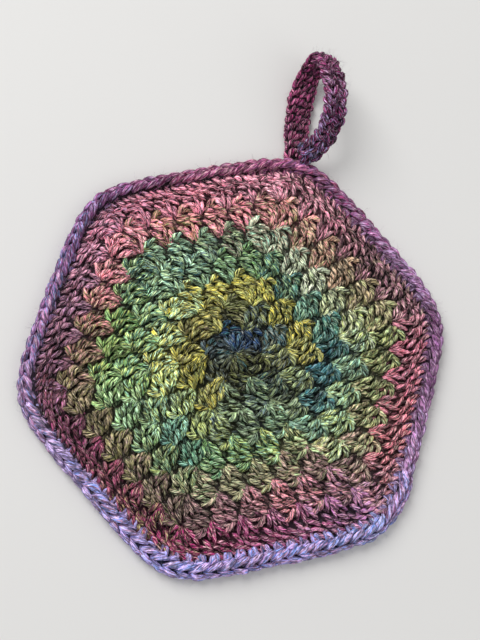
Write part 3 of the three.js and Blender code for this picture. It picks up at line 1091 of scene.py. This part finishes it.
class Skein:
    """Strands of yarn, gathered and then turned into one piece."""

    END_WIDTH = 0.55
    TAPER_POWER = 0.6
    END_BULGE = 0.35
    DRIFT_PER_MM = 0.16
    DRIFT_STARTS = 50
    built = {}

    def __init__(self, name, rings=6, sides=8, twist=1.0):
        self.name = name
        self.rings = rings
        self.sides = sides
        self.twist = twist
        self.strands = []

    def lay(self, points, up, width, colors):
        """Adds a strand through three points. up is the way that its cloth faces."""
        self.strands.append(Laid(points, up, width, colors))

    def template(self):
        """One plain tube with closed ends, made once and then repeated."""
        bm = bmesh.new()
        bmesh.ops.create_circle(bm, cap_ends=False, radius=1.0, segments=self.sides)
        edges = bm.edges[:]
        step = 1 / (self.rings - 1)
        for _ in range(self.rings - 1):
            grown = bmesh.ops.extrude_edge_only(bm, edges=edges)["geom"]
            verts = [g for g in grown if isinstance(g, bmesh.types.BMVert)]
            edges = [g for g in grown if isinstance(g, bmesh.types.BMEdge)]
            bmesh.ops.translate(bm, verts=verts, vec=(0, 0, step))
        ends = [edge for edge in bm.edges if edge.is_boundary]
        caps = bmesh.ops.holes_fill(bm, edges=ends, sides=self.sides)["faces"]
        bmesh.ops.poke(bm, faces=caps)
        bm.faces.sort(key=self.face_order)
        return close_and_wrap(bm, self.name + "_tube")

    def face_order(self, face):
        """A face's place, from end to end and then round, as extruding leaves them mixed."""
        centre = face.calc_center_median()
        turn = math.atan2(centre.y, centre.x) / (2 * math.pi)
        return 2 * (self.rings - 1) * centre.z + turn

    def repeated(self, template):
        """A mesh with one copy of the tube for each strand."""
        source = new_object(self.name + "_source", template)
        array = source.modifiers.new("strands", "ARRAY")
        array.count = len(self.strands)
        array.use_relative_offset = False
        depsgraph = bpy.context.evaluated_depsgraph_get()
        mesh = bpy.data.meshes.new_from_object(source.evaluated_get(depsgraph))
        bpy.data.objects.remove(source)
        bpy.data.meshes.remove(template)
        mesh.name = self.name
        return mesh

    def bent(self, tube, points, spin, yarn):
        """The points of all the tubes, each bent along its strand, tapered and twisted."""
        start, end = points[:, 0, None], points[:, 2, None]
        handle = 2 * points[:, 1, None] - 0.5 * (start + end)
        t = tube.share[None, :, None]
        centre = (1 - t) ** 2 * start + 2 * t * (1 - t) * handle + t**2 * end
        heading = unit(2 * (1 - t) * (handle - start) + 2 * t * (end - handle))
        up = np.array([laid.up[:] for laid in self.strands])[:, None]
        aside = unit(np.cross(heading, np.broadcast_to(up, heading.shape)))
        off = np.cross(aside, heading)

        widths = np.array([laid.width for laid in self.strands])[:, None, None]
        fullness = np.sin(np.pi * tube.share) ** self.TAPER_POWER
        taper = self.END_WIDTH + (1 - self.END_WIDTH) * fullness
        lobes = 1 + yarn.ply_depth * np.cos(2 * tube.turn)
        profile = np.where(tube.pole, 0.0, taper * lobes)[None, :, None]
        radius = 0.5 * widths * yarn.thickness * profile
        bulge = np.where(tube.pole, tube.share - 0.5, 0.0)[None, :, None]
        centre = centre + heading * bulge * self.END_BULGE * widths
        round_about = np.cos(spin)[..., None] * aside + np.sin(spin)[..., None] * off
        coords = centre + radius * round_about
        low = coords[..., 2] < SQUASHED
        coords[low, 2] = SQUASHED * np.exp(coords[low, 2] / SQUASHED - 1)
        return coords

    def dye(self, mesh, tube):
        """Gives every point of the mesh the colours of its strand's plies and flecks."""
        colors = np.array([laid.colors for laid in self.strands])
        for index, name in enumerate(DYED_PARTS):
            rgba = np.ones((len(self.strands) * tube.points, 4))
            rgba[:, :3] = np.repeat(colors[:, index], tube.points, axis=0)
            attribute = mesh.attributes.new(name, "FLOAT_COLOR", "POINT")
            attribute.data.foreach_set("color", rgba.reshape(-1))

    def build(self, yarn, rng, wool):
        """Makes the piece. Its spin attribute goes round a strand and drifts along it."""
        template = self.template()
        tube = Tube(template)
        mesh = self.repeated(template)
        points = np.array([[spot[:] for spot in laid.points] for laid in self.strands])
        lengths = np.linalg.norm(points[:, 2] - points[:, 0], axis=1)[:, None]
        along = tube.share * lengths
        phase = rng.uniform(0, 1, lengths.shape)
        spin = tube.turn + 2 * math.pi * (yarn.twist * self.twist * along + phase)
        coords = self.bent(tube, points, spin, yarn)
        mesh.vertices.foreach_set("co", coords.reshape(-1))

        starts = rng.uniform(0, self.DRIFT_STARTS, lengths.shape)
        drift = along / MM * self.DRIFT_PER_MM + starts
        rows = (np.cos(tube.turn), np.sin(tube.turn), drift)
        spun = np.stack([np.broadcast_to(row, spin.shape) for row in rows], axis=2)
        attribute = mesh.attributes.new("spin", "FLOAT_VECTOR", "POINT")
        attribute.data.foreach_set("vector", spun.reshape(-1))
        self.dye(mesh, tube)
        mesh.materials.append(wool)
        mesh.update()
        Skein.built[self.name] = self
        return new_piece(self.name, mesh)


# ---- the pieces ----------------------------------------------------------------------


def lay_fans(skein, strands, round_number, rng, yarn, facing, stretch=1.0):
    """Lays one round of fans. facing is 1 for the worked face and -1 for the back."""
    fans = 6 * round_number
    for fan in range(fans):
        place = round_number + (fan + 0.5) / fans
        squeeze = rng.uniform(*FAN_SQUEEZE)
        lift = rng.uniform(*FAN_LIFT) * facing
        for strand in strands:
            points = []
            for across, out, up in strand.places:
                spot = (across * squeeze, out * stretch, up + lift)
                point = fan_point(round_number, fan, *spot)
                points.append(point + stray(rng, yarn.looseness))
            width = strand.width * MM * rng.uniform(*FAN_WIDTHS)
            worked = min(place + rng.uniform(*FAN_DYE), round_number + LAST_SHARE)
            colors = strand_colors(BALL.at(worked), rng)
            skein.lay(points, Vector((0, 0, facing)), width, colors)


def lay_first_round(skein, rng, yarn, facing):
    """Lays the stitches that are worked into the ring at the centre."""
    for stitch in range(FIRST_STITCHES):
        share = (stitch + 0.5) / FIRST_STITCHES
        turn = math.radians(CORNERS[0].direction + 360 * share)
        for strand in FIRST_STITCH:
            points = []
            for across, out, up in strand.places:
                flat = at_angle(turn + math.radians(across), out * MM) + Vector(RING_CENTRE)
                height = up if facing > 0 else RING_BACK_TOP - RING_BACK_DEPTH * up
                point = Vector((flat.x, flat.y, height * MM))
                points.append(point + stray(rng, yarn.looseness))
            width = strand.width * MM * rng.uniform(*RING_WIDTHS)
            colors = strand_colors(BALL.at(1 + share), rng)
            skein.lay(points, Vector((0, 0, facing)), width, colors)


def lay_filler(skein, round_number, fan, across, out, rng):
    """Lays one short bit of yarn that lies askew across a gap."""
    turn = rng.uniform(*FILLER_TURN)
    reach = rng.uniform(*FILLER_REACH)
    up = rng.uniform(*FILLER_UP)
    aside, ahead = reach * math.cos(turn), reach * math.sin(turn)
    ends_up = up - FILLER_DROP
    points = [
        fan_point(round_number, fan, across - aside, out - ahead, ends_up),
        fan_point(round_number, fan, across, out, up),
        fan_point(round_number, fan, across + aside, out + ahead, ends_up),
    ]
    place = round_number + (fan + 0.5) / (6 * round_number)
    colors = strand_colors(BALL.at(place + rng.uniform(*FILLER_DYE)), rng)
    width = rng.uniform(*FILLER_WIDTHS) * MM
    # Painted shade: the bit's colours are darkened for the shade deep in the gap.
    skein.lay(points, Vector((0, 0, 1)), width, shaded(colors, FILLER_PAINTED_SHADE))


def panel_color(point):
    """The yarn colour under a point of the panel, from its distance and direction."""
    edge = rim_distance(math.atan2(point.y, point.x), EDGING_WIDTH)
    ring = int(math.hypot(point.x, point.y) / edge * EVEN_ROUNDS)
    return BALL.at(1 + min(ring, LAST_FOOT) + worked_share(point))[0]


class POTHOLDER_OT_rounds(bpy.types.Operator):
    """Lay the seven rounds of stitches on the worked face"""

    bl_idname = "potholder.rounds"
    bl_label = "Rounds of fans"

    SEED = 7

    def execute(self, context):
        yarn = context.scene.potholder_yarn
        rng = np.random.default_rng(self.SEED)
        for round_number in range(1, ROUNDS + 1):
            skein = Skein(f"round_{round_number}")
            strands = {1: FIRST_FAN, ROUNDS: LAST_FAN}.get(round_number, FAN)
            if round_number == 1:
                lay_first_round(skein, rng, yarn, 1)
            lay_fans(skein, strands, round_number, rng, yarn, 1)
            piece = skein.build(yarn, rng, spun_wool())
        return {"FINISHED"}


class POTHOLDER_OT_between(bpy.types.Operator):
    """Lay the short bits of yarn that show between the stitches"""

    bl_idname = "potholder.between"
    bl_label = "Yarn between the stitches"

    SEED = 11

    def execute(self, context):
        rng = np.random.default_rng(self.SEED)
        skein = Skein("between_stitches", rings=5, sides=6)
        for round_number in range(1, ROUNDS + 1):
            fillers = LAST_FILLERS if round_number == ROUNDS else COMMON_FILLERS
            reach = fillers.outermost - FILLER_FOOT
            for fan in range(6 * round_number):
                for index in range(fillers.count):
                    across = FILLER_SPREAD * (index * GOLDEN_SHARE % 1) - FILLER_SPREAD / 2
                    across += rng.uniform(*FILLER_ACROSS)
                    out = FILLER_FOOT + reach * (index + 0.5) / fillers.count
                    lay_filler(skein, round_number, fan, across, out, rng)
        piece = skein.build(context.scene.potholder_yarn, rng, spun_wool())
        return {"FINISHED"}


class POTHOLDER_OT_back(bpy.types.Operator):
    """Lay the stitches as they look from behind"""

    bl_idname = "potholder.back"
    bl_label = "Back of the rounds"

    SEED = 8

    def execute(self, context):
        yarn = context.scene.potholder_yarn
        rng = np.random.default_rng(self.SEED)
        skein = Skein("back_of_rounds", rings=5, sides=6)
        lay_first_round(skein, rng, yarn, -1)
        for round_number in range(1, ROUNDS + 1):
            stretch = BACK_STRETCH if round_number == ROUNDS else 1.0
            lay_fans(skein, BACK_FAN, round_number, rng, yarn, -1, stretch)
        piece = skein.build(yarn, rng, spun_wool())
        return {"FINISHED"}


class POTHOLDER_OT_ground(bpy.types.Operator):
    """Make the cloth that shows between the stitches, in painted shade"""

    bl_idname = "potholder.ground"
    bl_label = "Cloth between the stitches"

    COLUMNS = 168
    ROWS = 36
    LOW = 0.0019
    HIGH = 0.0031

    def place(self, column, row):
        """A point of the cloth's lower face."""
        flat = panel_point(ROUNDS * row, 6 * ROUNDS * row * (column % 1.0))
        return Vector((flat.x, flat.y, self.LOW))

    def execute(self, context):
        bm = mapped_grid(self.COLUMNS, self.ROWS, self.place)
        upper = bmesh.ops.duplicate(bm, geom=bm.faces[:])["geom"]
        raised = [g for g in upper if isinstance(g, bmesh.types.BMVert)]
        bmesh.ops.translate(bm, verts=raised, vec=(0, 0, self.HIGH - self.LOW))
        rims = [edge for edge in bm.edges if edge.is_boundary]
        bmesh.ops.bridge_loops(bm, edges=rims)
        piece = ground_piece("ground", bm, panel_color)
        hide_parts("panel")
        return {"FINISHED"}


class POTHOLDER_OT_edging(bpy.types.Operator):
    """Lay the round of single crochet and its braid along the rim"""

    bl_idname = "potholder.edging"
    bl_label = "Edging"

    SEED = 9
    LOOSENESS = 0.7
    LEGS = ("leg_left", "leg_right", "between")
    CORE = (
        CorePoint(-7.6, 2.2),
        CorePoint(-4.6, 1.6),
        CorePoint(-1.9, 2.2),
        CorePoint(-1.5, 3.6),
        CorePoint(-2.4, 4.7),
        CorePoint(-5.0, 4.6),
        CorePoint(-7.6, 3.6),
    )

    def lay_stitch(self, skein, rim, stitch, rng, yarn):
        """Lays one stitch: its legs and braid, and its back."""
        along = rim.start + (stitch + 0.5) * (rim.length / EDGING_STITCHES)
        place = EDGING_ROUND + (stitch + 0.5) / EDGING_STITCHES
        # Painted shade: the legs darken towards the raised side, where the braid shades
        # them.
        away = math.cos(rim.angle(along) - math.radians(RAISED_SIDE))
        leg_painted_shade = 1 - LEG_PAINTED_SHADE * max(0.0, away)
        for strand in EDGING:
            points = []
            for across, out, up in strand.places:
                point = rim.worked_point(along + across * MM, out * MM, up * MM)
                points.append(point + stray(rng, self.LOOSENESS * yarn.looseness))
            facing = 1 if strand.middle[2] * MM > FACE_HEIGHT else -1
            width = strand.width * MM * rng.uniform(*EDGING_WIDTHS)
            colors = strand_colors(BALL.at(place + rng.uniform(*EDGING_DYE)), rng)
            if strand.name in self.LEGS:
                colors = shaded(colors, leg_painted_shade)
            skein.lay(points, Vector((0, 0, facing)), width, colors)

    def core_color(self, point):
        """The yarn colour under a point of the edging."""
        return BALL.at(EDGING_ROUND + min(worked_share(point), LAST_EDGING_SHARE))[0]

    def execute(self, context):
        yarn = context.scene.potholder_yarn
        rng = np.random.default_rng(self.SEED)
        rim = RimLine()
        skein = Skein("edging_strands", twist=EDGING_TWIST)
        for stitch in range(EDGING_STITCHES):
            self.lay_stitch(skein, rim, stitch, rng, yarn)
        piece = skein.build(yarn, rng, soft_wool())
        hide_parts("edging")

        bm = core_of_line(rim, self.CORE, EDGING_STITCHES)
        # Painted shade: the edging's core takes the dark wool, for the shade under its
        # stitches.
        core = ground_piece("edging_ground", bm, self.core_color)
        return {"FINISHED"}


class POTHOLDER_OT_hanging_loop(bpy.types.Operator):
    """Work the band of the hanging loop"""

    bl_idname = "potholder.hanging_loop"
    bl_label = "Hanging loop"

    SEED = 10
    CORE = (
        CorePoint(-4.8, 0.0),
        CorePoint(-3.8, 0.9),
        CorePoint(0.0, 1.0),
        CorePoint(3.8, 0.9),
        CorePoint(4.8, 0.0),
        CorePoint(3.8, -0.9),
        CorePoint(0.0, -1.0),
        CorePoint(-3.8, -0.9),
    )

    def lay_stitch(self, skein, line, stitch, rng, yarn):
        """Lays one stitch of the band, on both of its faces."""
        along = (stitch + 0.5) * (line.length / LOOP_STITCHES)
        outward = line.directions(along)[2]
        for strand in LOOP:
            points = []
            for across, out, up in strand.places:
                point = line.point(along + across * MM, out * MM, up * MM)
                points.append(point + stray(rng, yarn.looseness))
            facing = 1 if strand.middle[2] > 0 else -1
            width = strand.width * MM * rng.uniform(*LOOP_WIDTHS)
            colors = strand_colors(LOOP_BALL.at(along / line.length), rng)
            skein.lay(points, outward * facing, width, colors)

    def execute(self, context):
        yarn = context.scene.potholder_yarn
        rng = np.random.default_rng(self.SEED)
        line = LoopLine()
        skein = Skein("loop_strands")
        for stitch in range(LOOP_STITCHES):
            self.lay_stitch(skein, line, stitch, rng, yarn)
        piece = skein.build(yarn, rng, spun_wool())

        bm = core_of_line(line, self.CORE, LOOP_STITCHES)
        # Painted shade: the band's core takes the dark wool, for the shade between its
        # strands.
        core = ground_piece("loop_ground", bm, lambda point: DYE_COLORS["plum"])
        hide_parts("hanging_loop")
        return {"FINISHED"}


class POTHOLDER_OT_fuzz(bpy.types.Operator):
    """Draw out the loose wool fibres that stand off the yarn"""

    bl_idname = "potholder.fuzz"
    bl_label = "Loose fibres"

    SEED = 12
    SHARES = {"edging_strands": 0.40, "loop_strands": 0.15, "round_7": 0.15, "round_6": 0.10}
    THICKNESS = 0.00007
    ROOT = 0.3
    RISE = 0.5
    SPREAD = 0.4
    LENGTHS = Range(0.5, 1.6)
    CURL = 0.25
    DYE_KEPT = 0.5
    WHITENING = 0.25

    def shares(self):
        """The share of the fibres in each skein. The inner rounds have theirs by length."""
        rest = 1 - sum(self.SHARES.values())
        inner = range(1, LAST_FOOT)
        return self.SHARES | {f"round_{n}": rest * n / sum(inner) for n in inner}

    def fibre(self, strand, yarn, rng):
        """The three points of a fibre that starts inside a strand and stands off it."""
        middle = strand.points[1]
        away = stray(rng, 1.0) + strand.up * self.RISE
        away += Vector((middle.x, middle.y, 0)).normalized() * self.SPREAD
        away = away.normalized() * yarn.fuzz_length * rng.uniform(*self.LENGTHS)
        curl = yarn.fuzz_length * self.CURL
        start = middle + strand.up * strand.width * self.ROOT
        halfway = start + away * 0.5 + stray(rng, curl)
        return start, halfway, start + away + stray(rng, curl)

    def execute(self, context):
        yarn = context.scene.potholder_yarn
        rng = np.random.default_rng(self.SEED)
        skein = Skein("loose_fibres", rings=4, sides=3)
        for name, share in self.shares().items():
            if name not in Skein.built:
                raise RuntimeError(f"Lay {name} before its loose fibres")
            strands = Skein.built[name].strands
            for _ in range(round(yarn.fuzz_count * share)):
                strand = strands[rng.integers(len(strands))]
                points = self.fibre(strand, yarn, rng)
                pale = [self.DYE_KEPT * color + self.WHITENING for color in strand.colors]
                skein.lay(points, strand.up, self.THICKNESS, pale)
        piece = skein.build(yarn, rng, spun_wool())
        return {"FINISHED"}


class POTHOLDER_OT_stage(bpy.types.Operator):
    """Set out the floor, the lights and the camera"""

    bl_idname = "potholder.stage"
    bl_label = "Stage"

    FLOOR_SIZE = 6.0
    KEY_PLACE = (-1.1, 1.25, 1.6)
    KEY_SIZE = 1.6
    FILL_PLACE = (0.9, -0.7, 1.1)
    FILL_SIZE = 1.2
    FILL_SHARE = 0.07
    SKY_COLOR = (0.97, 0.98, 1.0, 1.0)
    SENSOR_WIDTH = 36.0
    NEAREST_SEEN = 0.01

    def lay_floor(self, color):
        """One wide square under everything."""
        bm = bmesh.new()
        bmesh.ops.create_grid(bm, x_segments=1, y_segments=1, size=self.FLOOR_SIZE / 2)
        mesh = close_and_wrap(bm, "floor")
        mesh.materials.append(floor_material(color))
        floor = new_object("floor", mesh)

    def hang_lamp(self, name, place, size, power):
        """A round lamp that shines at the middle of the floor."""
        data = bpy.data.lights.new(name, "AREA")
        data.shape = "DISK"
        data.size = size
        data.energy = power
        lamp = new_object(name, data)
        lamp.location = place
        lamp.rotation_euler = (-Vector(place)).to_track_quat("-Z", "Y").to_euler()

    def light_sky(self, scene, strength):
        """The even light from all round, and colours shown as they are."""
        world = bpy.data.worlds.new("studio")
        world.use_nodes = True
        background = world.node_tree.nodes["Background"]
        background.inputs["Color"].default_value = self.SKY_COLOR
        background.inputs["Strength"].default_value = strength
        scene.world = world
        scene.view_settings.view_transform = "Standard"

    def set_camera(self, scene, stage):
        """The camera, where the settings stand it and tip it."""
        data = bpy.data.cameras.new("camera")
        data.lens = stage.camera_lens
        data.sensor_width = self.SENSOR_WIDTH
        data.clip_start = self.NEAREST_SEEN
        camera = new_object("camera", data)
        tip_x, tip_y, _ = stage.camera_tip
        turned = Matrix.Rotation(tip_x, 4, "X") @ Matrix.Rotation(tip_y, 4, "Y")
        camera.matrix_world = Matrix.Translation(stage.camera_place) @ turned
        scene.camera = camera

    def execute(self, context):
        stage = context.scene.potholder_stage
        self.lay_floor(stage.floor_color)
        self.hang_lamp("key", self.KEY_PLACE, self.KEY_SIZE, stage.key_power)
        fill_power = stage.key_power * self.FILL_SHARE
        self.hang_lamp("fill", self.FILL_PLACE, self.FILL_SIZE, fill_power)
        self.light_sky(context.scene, stage.sky_strength)
        self.set_camera(context.scene, stage)
        return {"FINISHED"}


class POTHOLDER_PT_panel(bpy.types.Panel):
    """The pot holder's settings and the steps that build it"""

    bl_idname = "POTHOLDER_PT_panel"
    bl_label = "Crocheted pot holder"
    bl_space_type = "VIEW_3D"
    bl_region_type = "UI"
    bl_category = "Pot holder"

    def draw(self, context):
        for settings in (context.scene.potholder_yarn, context.scene.potholder_stage):
            box = self.layout.box()
            for name in settings.__annotations__:
                box.prop(settings, name)
        for operator in OPERATORS:
            self.layout.operator(operator.bl_idname)


OPERATORS = (
    POTHOLDER_OT_stage,
    POTHOLDER_OT_rounds,
    POTHOLDER_OT_between,
    POTHOLDER_OT_back,
    POTHOLDER_OT_ground,
    POTHOLDER_OT_edging,
    POTHOLDER_OT_hanging_loop,
    POTHOLDER_OT_fuzz,
)
CLASSES = (YarnSettings, StageSettings, *OPERATORS, POTHOLDER_PT_panel)


def register():
    for cls in CLASSES:
        bpy.utils.register_class(cls)
    bpy.types.Scene.potholder_yarn = bpy.props.PointerProperty(type=YarnSettings)
    bpy.types.Scene.potholder_stage = bpy.props.PointerProperty(type=StageSettings)


def unregister():
    del bpy.types.Scene.potholder_stage
    del bpy.types.Scene.potholder_yarn
    for cls in reversed(CLASSES):
        bpy.utils.unregister_class(cls)


CLOTH_NAMES = ("round_", "between_", "back_", "edging_", "loose_")


def panel_area():
    """The area of the panel as cloth, as six triangles that meet at its centre."""
    reaches = [rim_distance(math.radians(side.facing), EDGING_WIDTH) for side in SIDES]
    squares = sum(reach**2 / math.cos(math.pi / 6) ** 2 for reach in reaches)
    return 0.5 * math.sin(math.pi / 3) * squares


def declare_cloth():
    """Gathers the pieces that lie on the panel and works out its area as cloth, once all of
    it is made; nothing more is done with them.
    """
    going_with = [obj for obj in bpy.data.objects if obj.name.startswith(CLOTH_NAMES)]
    across = 2 * rim_distance(0.0, EDGING_WIDTH)
    min(panel_area(), 0.99 * across**2)


def main():
    register()
    bpy.ops.potholder.stage()
    bpy.ops.potholder.rounds()
    bpy.ops.potholder.between()
    bpy.ops.potholder.back()
    bpy.ops.potholder.ground()
    bpy.ops.potholder.edging()
    bpy.ops.potholder.hanging_loop()
    bpy.ops.potholder.fuzz()
    declare_cloth()


if __name__ == "__main__":
    main()
